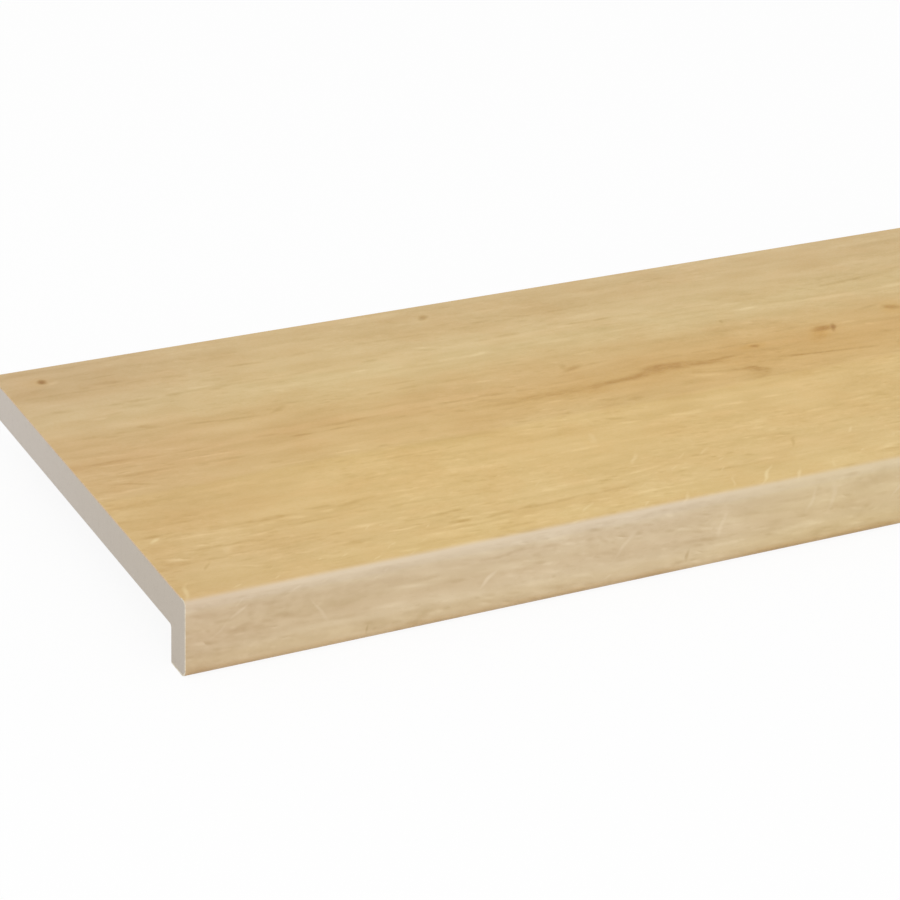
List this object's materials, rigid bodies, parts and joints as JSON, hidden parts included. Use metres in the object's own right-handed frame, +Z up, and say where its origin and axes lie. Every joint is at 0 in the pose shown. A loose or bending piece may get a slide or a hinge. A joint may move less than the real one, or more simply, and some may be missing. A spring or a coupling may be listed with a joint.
{
  "type": "window sill board",
  "caption": "Inside window sill board with a drop nose: an L-shaped core board wrapped over top and front in one bent oak-decor laminate.",
  "frame": {"origin": "middle of the board's footprint, at the level of the foot of the nose", "axes": "+X along the board, +Y from the nose towards the window, +Z up out of the top face"},
  "size_m": [1, 0.25, 0.038],
  "materials": {
    "core": "sawn and sanded pale grey-beige composite board",
    "oak_decor": "light oak decor laminate, fine embossed grain, satin"
  },
  "bodies": {
    "root": {"core_board": "core", "decor_laminate": "oak_decor"}
  },
  "joints": []
}
